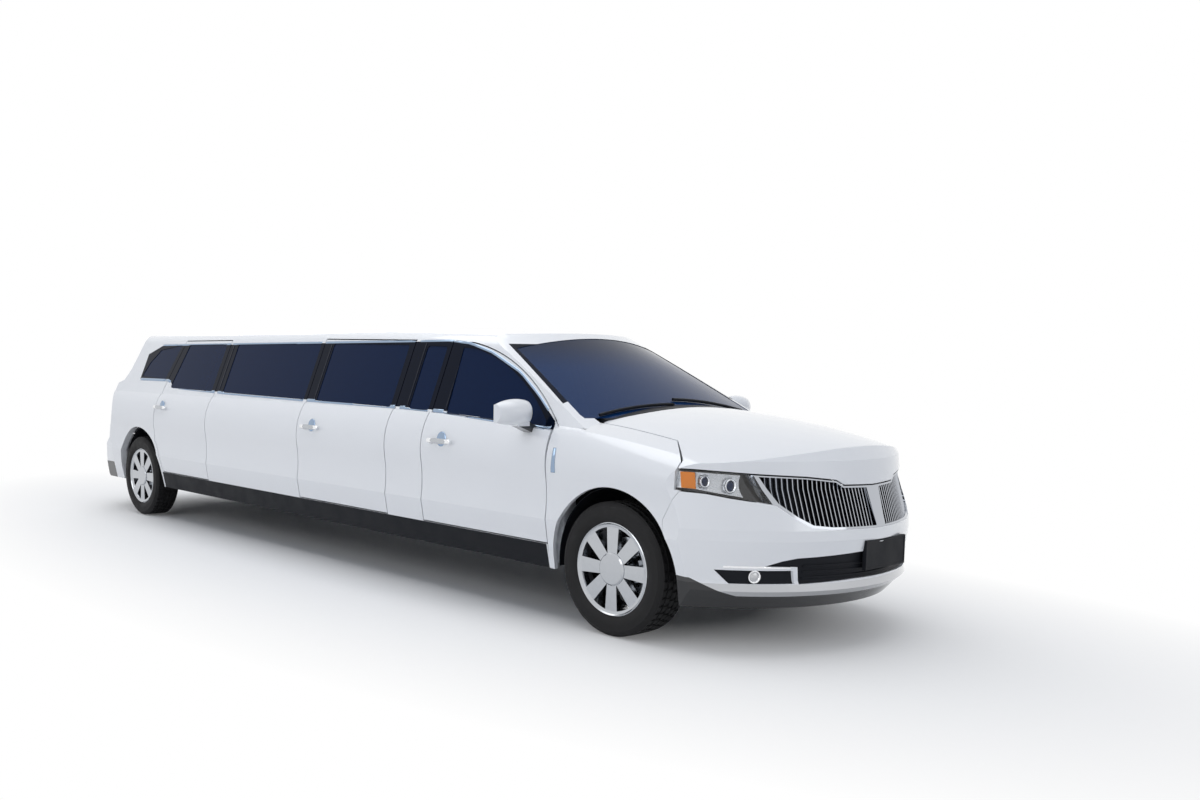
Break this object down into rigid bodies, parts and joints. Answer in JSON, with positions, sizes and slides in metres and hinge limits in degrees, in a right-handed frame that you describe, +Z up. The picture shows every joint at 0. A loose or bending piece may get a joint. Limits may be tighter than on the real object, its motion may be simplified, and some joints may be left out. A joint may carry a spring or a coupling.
{
  "type": "stretch limousine",
  "caption": "Long stretched passenger wagon with tinted side windows, split slatted grille, opening doors, bonnet and liftgate, on steered and rolling wheels.",
  "frame": {"origin": "on the ground under the middle of the length, on the car's centre line", "axes": "+X forward along the car, +Y to the car's left, +Z up"},
  "size_m": [8.3198, 2.348, 1.7269],
  "materials": {
    "paint": "pearl white paint under clear coat",
    "tinted_glass": "near black tinted glass",
    "clear_glass": "lightly green windscreen glass",
    "lamp_glass": "clear lamp cover over bright reflectors",
    "red_lamp": "red lamp lens",
    "bright_trim": "bright chrome",
    "grille_dark": "dark gloss grille with bright edges",
    "dark_trim": "grained black plastic",
    "rim_chrome": "polished chrome wheel",
    "tyre_rubber": "black tyre rubber",
    "bare_steel": "machined and raw steel",
    "cast_metal": "dark cast metal",
    "floor_coat": "dark underbody coating",
    "seat_leather": "black leather",
    "dash_plastic": "soft dark dashboard plastic",
    "cabin_wood": "dark varnished wood"
  },
  "bodies": {
    "root": {"body_side_left": "paint", "body_side_right": "paint", "roof_panel": "paint", "cowl_panel": "dark_trim", "front_fenders": "paint", "front_bumper": "paint", "rear_bumper": "paint", "grille": "grille_dark", "lower_grille": "dark_trim", "headlamps": "lamp_glass", "side_skirts": "dark_trim", "windscreen": "clear_glass", "side_windows": "tinted_glass", "floor_pan": "floor_coat", "arch_liners": "dark_trim", "engine_block": "cast_metal", "exhaust": "bare_steel", "front_axle": "cast_metal", "rear_axle": "cast_metal", "dashboard": "dash_plastic", "steering_wheel": "seat_leather", "front_seats": "seat_leather", "lounge_seats": "seat_leather", "partition": "cabin_wood", "wipers": "dark_trim"},
    "door_front_left_body": {"door_front_left": "paint", "door_glass_front_left": "tinted_glass", "door_handle_front_left": "bright_trim", "mirror_left": "paint"},
    "door_front_right_body": {"door_front_right": "paint", "door_glass_front_right": "tinted_glass", "door_handle_front_right": "bright_trim", "mirror_right": "paint"},
    "door_middle_right_body": {"door_middle_right": "paint", "door_glass_middle_right": "tinted_glass", "door_handle_middle_right": "bright_trim"},
    "door_rear_left_body": {"door_rear_left": "paint", "door_glass_rear_left": "tinted_glass", "door_handle_rear_left": "bright_trim"},
    "door_rear_right_body": {"door_rear_right": "paint", "door_glass_rear_right": "tinted_glass", "door_handle_rear_right": "bright_trim"},
    "bonnet_body": {"bonnet": "paint"},
    "liftgate_body": {"liftgate": "paint", "liftgate_glass": "tinted_glass", "tail_lamps": "red_lamp"},
    "knuckle_left_body": {"knuckle_left": "cast_metal"},
    "knuckle_right_body": {"knuckle_right": "cast_metal"},
    "wheel_front_left_body": {"rim_front_left": "rim_chrome", "tyre_front_left": "tyre_rubber"},
    "wheel_front_right_body": {"rim_front_right": "rim_chrome", "tyre_front_right": "tyre_rubber"},
    "wheel_rear_left_body": {"rim_rear_left": "rim_chrome", "tyre_rear_left": "tyre_rubber"},
    "wheel_rear_right_body": {"rim_rear_right": "rim_chrome", "tyre_rear_right": "tyre_rubber"}
  },
  "joints": [
    {"name": "door_front_left_hinge", "type": "hinge", "parent": "root", "child": "door_front_left_body", "pos_m": [2.528, 0.944, 0.8], "axis": [0, 0, -1], "range_deg": [0, 66]},
    {"name": "door_front_right_hinge", "type": "hinge", "parent": "root", "child": "door_front_right_body", "pos_m": [2.528, -0.944, 0.8], "axis": [0, 0, 1], "range_deg": [0, 66]},
    {"name": "door_middle_right_hinge", "type": "hinge", "parent": "root", "child": "door_middle_right_body", "pos_m": [0.96, -0.944, 0.8], "axis": [0, 0, 1], "range_deg": [0, 66]},
    {"name": "door_rear_left_hinge", "type": "hinge", "parent": "root", "child": "door_rear_left_body", "pos_m": [-1.65, 0.944, 0.8], "axis": [0, 0, -1], "range_deg": [0, 66]},
    {"name": "door_rear_right_hinge", "type": "hinge", "parent": "root", "child": "door_rear_right_body", "pos_m": [-1.65, -0.944, 0.8], "axis": [0, 0, 1], "range_deg": [0, 66]},
    {"name": "bonnet_hinge", "type": "hinge", "parent": "root", "child": "bonnet_body", "pos_m": [2.72, 0, 1.105], "axis": [0, -1, 0], "range_deg": [0, 45]},
    {"name": "liftgate_hinge", "type": "hinge", "parent": "root", "child": "liftgate_body", "pos_m": [-3.35, 0, 1.702], "axis": [0, 1, 0], "range_deg": [0, 78]},
    {"name": "steering_left", "type": "hinge", "parent": "root", "child": "knuckle_left_body", "pos_m": [3.1, 0.739, 0.3705], "axis": [0, 0, 1], "range_deg": [-32, 32]},
    {"name": "steering_right", "type": "hinge", "parent": "root", "child": "knuckle_right_body", "pos_m": [3.1, -0.739, 0.3705], "axis": [0, 0, 1], "range_deg": [-32, 32]},
    {"name": "wheel_front_left_spin", "type": "hinge", "parent": "knuckle_left_body", "child": "wheel_front_left_body", "pos_m": [3.1, 0.827, 0.3705], "axis": [0, 1, 0], "continuous": true},
    {"name": "wheel_front_right_spin", "type": "hinge", "parent": "knuckle_right_body", "child": "wheel_front_right_body", "pos_m": [3.1, -0.827, 0.3705], "axis": [0, 1, 0], "continuous": true},
    {"name": "wheel_rear_left_spin", "type": "hinge", "parent": "root", "child": "wheel_rear_left_body", "pos_m": [-2.943, 0.827, 0.3705], "axis": [0, 1, 0], "continuous": true},
    {"name": "wheel_rear_right_spin", "type": "hinge", "parent": "root", "child": "wheel_rear_right_body", "pos_m": [-2.943, -0.827, 0.3705], "axis": [0, 1, 0], "continuous": true}
  ],
  "couplings": [
    {"joint": "steering_left", "follows": "steering_right", "ratio": 1}
  ]
}
